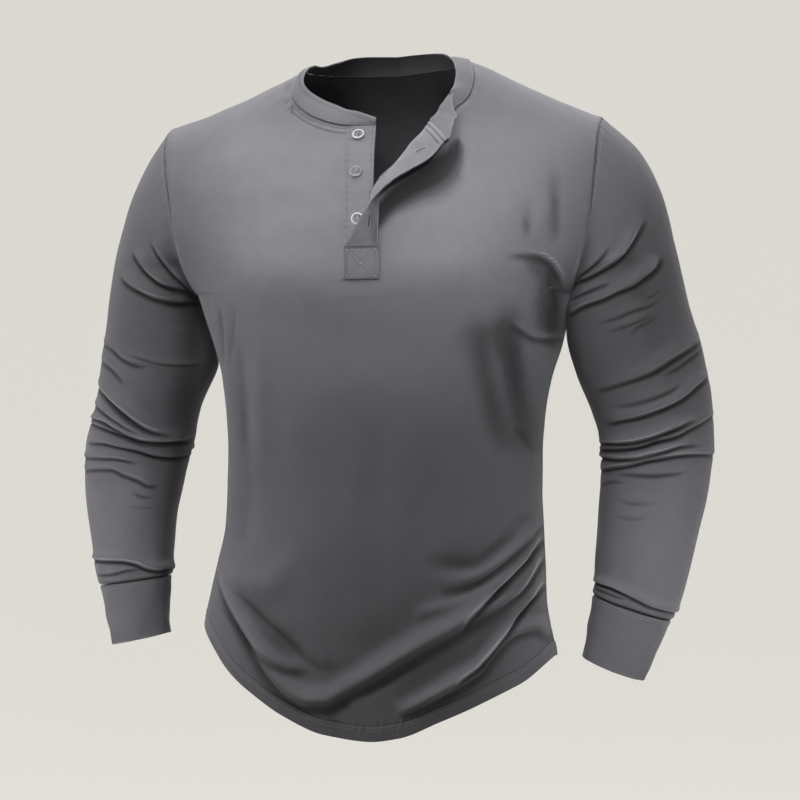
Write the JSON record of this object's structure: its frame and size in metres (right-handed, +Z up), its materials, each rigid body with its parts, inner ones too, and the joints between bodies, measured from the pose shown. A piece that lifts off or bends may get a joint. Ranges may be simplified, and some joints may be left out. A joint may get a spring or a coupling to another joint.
{
  "type": "long-sleeved henley shirt",
  "caption": "Hollow long-sleeved jersey henley shirt with a narrow neckband, a part-open button placket, plain cuffs and a curved shirt-tail hem.",
  "frame": {"origin": "middle of the neck opening, level with the inner ends of the shoulder seams, where the wearer's neck and shoulders carry the shirt", "axes": "+Z up, front faces -Y, +X is the wearer's left"},
  "size_m": [0.7081, 0.2882, 0.7562],
  "materials": {
    "jersey": "matte",
    "button_horn": "satin"
  },
  "bodies": {
    "root": {"front": "jersey", "back": "jersey", "sleeve_left": "jersey", "sleeve_right": "jersey", "cuff_left": "jersey", "cuff_right": "jersey", "neckband": "jersey", "placket_buttonhole": "jersey", "placket_button": "jersey", "placket_box": "jersey", "button_top": "button_horn", "button_middle": "button_horn", "button_bottom": "button_horn"}
  },
  "joints": []
}
